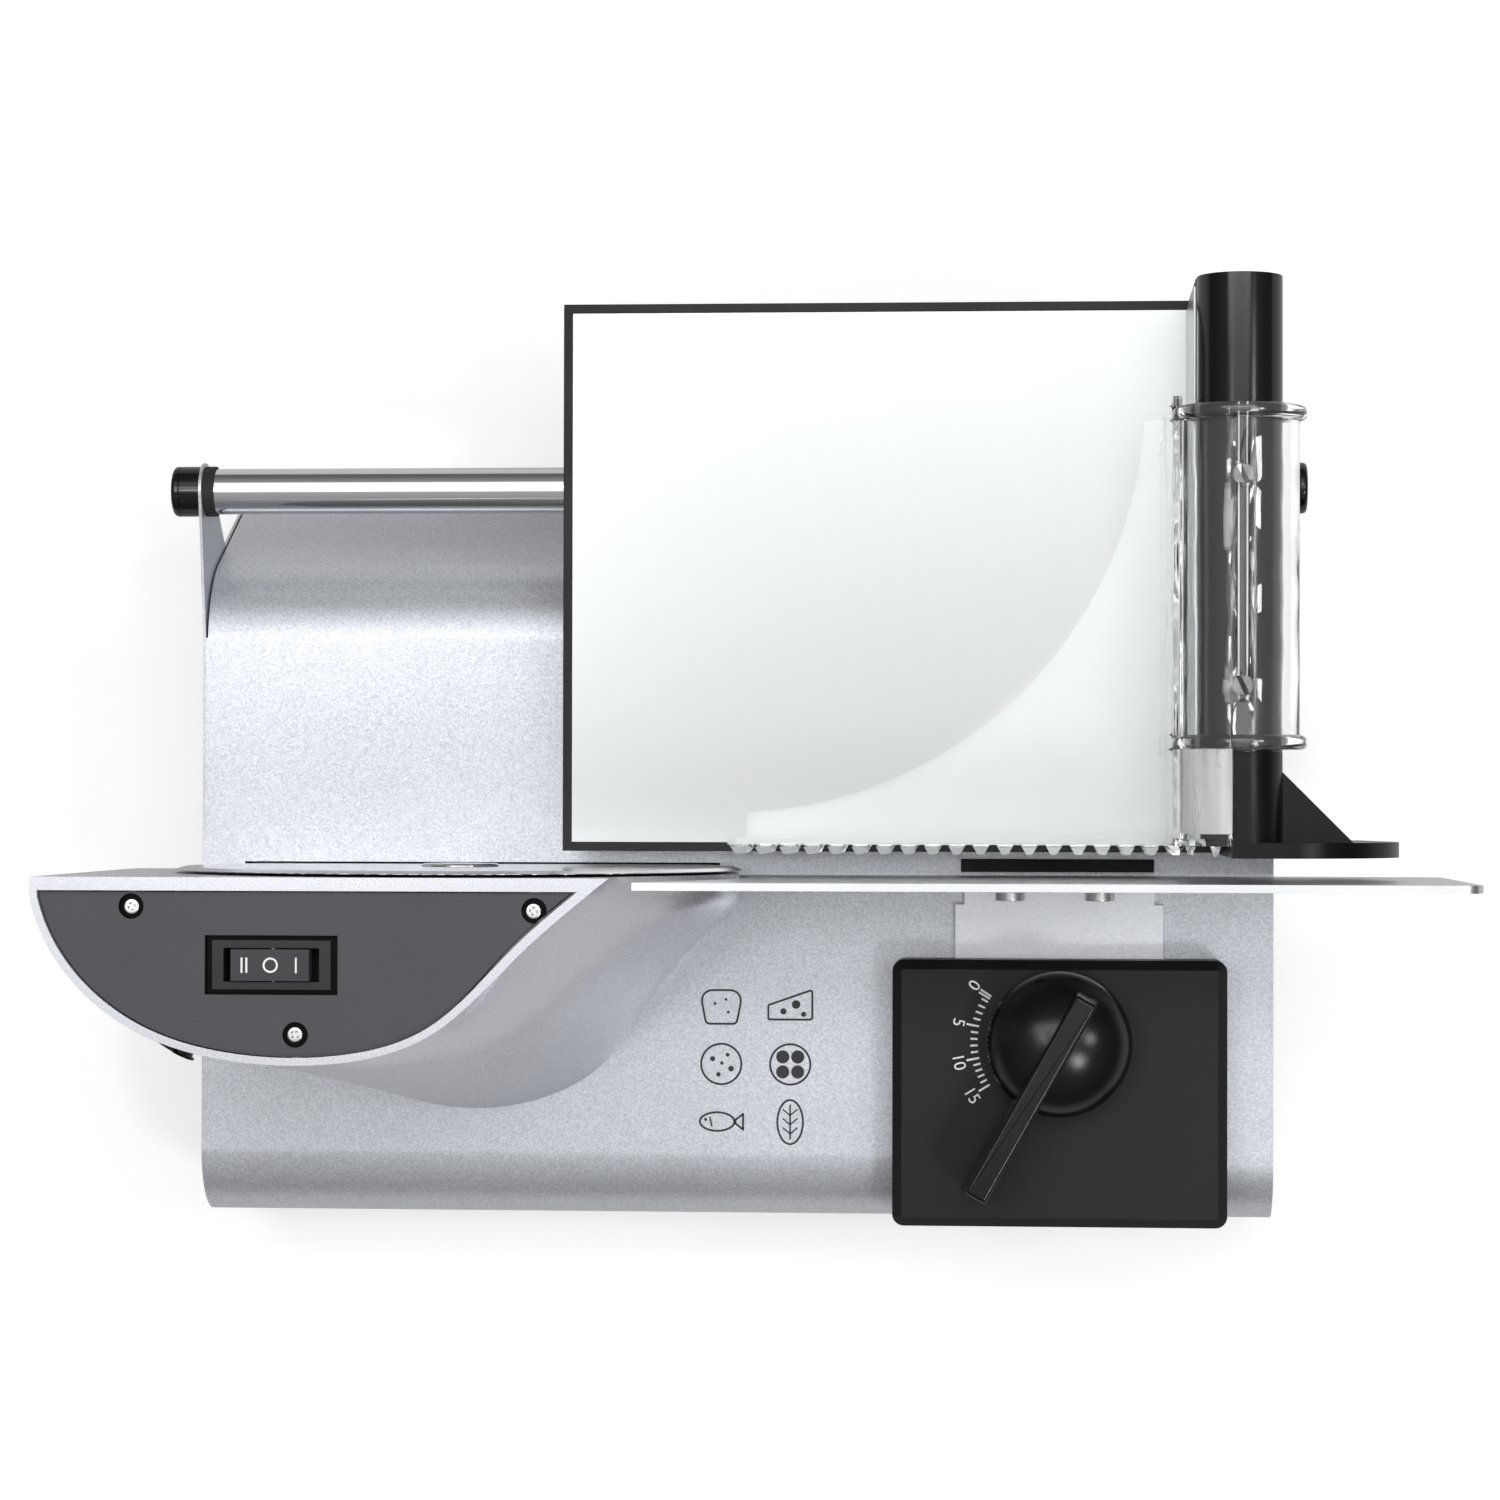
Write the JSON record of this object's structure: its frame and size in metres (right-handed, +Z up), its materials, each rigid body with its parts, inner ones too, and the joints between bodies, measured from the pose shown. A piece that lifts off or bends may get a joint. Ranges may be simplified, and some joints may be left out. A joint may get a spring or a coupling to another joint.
{
  "type": "electric food slicer",
  "caption": "Electric food slicer: upright round blade on a motor housing, sliding steel tray with clear food holder on a rod, stop plate set by a knob, and a silver base.",
  "frame": {"origin": "middle of the machine's footprint box, on the table under the rubber feet", "axes": "+X along the slide rod towards the stop plate's free end, +Y from the user's switch side towards the slide rod, +Z up"},
  "size_m": [0.4532, 0.3146, 0.2362],
  "materials": {
    "base_coat": "fine sparkle powder coat, light silver grey",
    "black_steel": "matt black",
    "rubber": "matt",
    "zinc_screws": "zinc plated",
    "housing_coat": "smooth satin silver",
    "black_plastic": "fine textured",
    "gloss_black": "gloss black",
    "steel": "machined",
    "blade_steel": "ground and polished",
    "gear_plastic": "natural nylon",
    "bronze": "sintered",
    "carbon": "graphite",
    "motor_coat": "zinc plated",
    "circuit": "solder mask",
    "plate_aluminium": "satin brushed",
    "carrier_coat": "satin silver",
    "chrome": "polished",
    "tray_steel": "brushed stainless",
    "cast_block": "as cast",
    "glide": "white acetal",
    "clear": "clear moulded plastic, gloss"
  },
  "bodies": {
    "frame": {"base_shell": "base_coat", "base_side_left": "base_coat", "base_side_right": "base_coat", "bottom_cover": "black_steel", "rubber_feet": "rubber", "plate_buffer": "rubber", "rod_collars": "rubber", "base_screws": "zinc_screws", "casing_screws": "zinc_screws", "panel_screws": "zinc_screws", "motor_screws": "zinc_screws", "guide_screws": "zinc_screws", "motor_housing": "housing_coat", "housing_floor": "black_plastic", "switch_panel": "black_plastic", "knob_box": "black_plastic", "cable_gland": "black_plastic", "gland_nut": "black_plastic", "motor_end_cap": "black_plastic", "switch_body": "gloss_black", "rod_caps": "gloss_black", "switch_pivots": "steel", "stator_core": "steel", "motor_bracket": "steel", "blade_bearing": "bronze", "shaft_bush": "bronze", "spindle_bush": "bronze", "carbon_brushes": "carbon", "motor_can": "motor_coat", "speed_board": "circuit", "slide_rod": "chrome"},
    "carriage": {"tray_frame": "black_plastic", "tray_sheet": "tray_steel", "slide_block": "cast_block", "slide_bushes": "bronze", "block_screws": "zinc_screws", "glide_pads": "glide", "handle_tube": "gloss_black", "tube_plug": "gloss_black", "thumb_guard": "gloss_black", "guard_screws": "zinc_screws"},
    "liners": {"guide_liners": "black_plastic"},
    "holder": {"pusher": "clear"},
    "cutter": {"blade": "blade_steel", "worm_wheel": "gear_plastic", "blade_lock_screw": "blade_steel"},
    "rotor": {"motor_shaft": "steel", "rotor_core": "steel", "commutator": "bronze", "cooling_fan": "black_plastic", "worm": "steel"},
    "dial": {"thickness_knob": "gloss_black", "knob_spindle": "steel", "cam_plate": "black_plastic", "spindle_fixings": "steel"},
    "stop": {"stop_plate": "plate_aluminium", "plate_carrier": "carrier_coat", "plate_bolts": "zinc_screws", "follower_pin": "steel"},
    "rocker": {"switch_rocker": "gloss_black"}
  },
  "joints": [
    {"name": "carriage_slide", "type": "slide", "parent": "frame", "child": "carriage", "axis": [1, 0, 0], "range_m": [-0.16, 0.04]},
    {"name": "holder_slide", "type": "slide", "parent": "carriage", "child": "liners", "axis": [0, 1, 0], "range_m": [0, 0.036]},
    {"name": "holder_swing", "type": "hinge", "parent": "liners", "child": "holder", "pos_m": [0.1538, 0.05975, 0.182], "axis": [0, 1, 0], "range_deg": [0, 40]},
    {"name": "rotor_spin", "type": "hinge", "parent": "frame", "child": "rotor", "pos_m": [-0.1402, -0.07125, 0.064], "axis": [0, 0, 1], "continuous": true},
    {"name": "blade_spin", "type": "hinge", "parent": "frame", "child": "cutter", "pos_m": [-0.1042, -0.03525, 0.138], "axis": [0, 1, 0], "continuous": true},
    {"name": "knob_turn", "type": "hinge", "parent": "frame", "child": "dial", "pos_m": [0.0969, -0.09405, 0.095], "axis": [0, 0, 1], "range_deg": [0, 62]},
    {"name": "plate_slide", "type": "slide", "parent": "frame", "child": "stop", "axis": [0, -1, 0], "range_m": [0, 0.015]},
    {"name": "switch_rock", "type": "hinge", "parent": "frame", "child": "rocker", "pos_m": [-0.1501, -0.06375, 0.2305], "axis": [0, 1, 0], "range_deg": [-9, 9]}
  ],
  "couplings": [
    {"joint": "blade_spin", "follows": "rotor_spin", "ratio": -0.025},
    {"joint": "knob_turn", "follows": "plate_slide", "rad_per_m": 72.14}
  ]
}
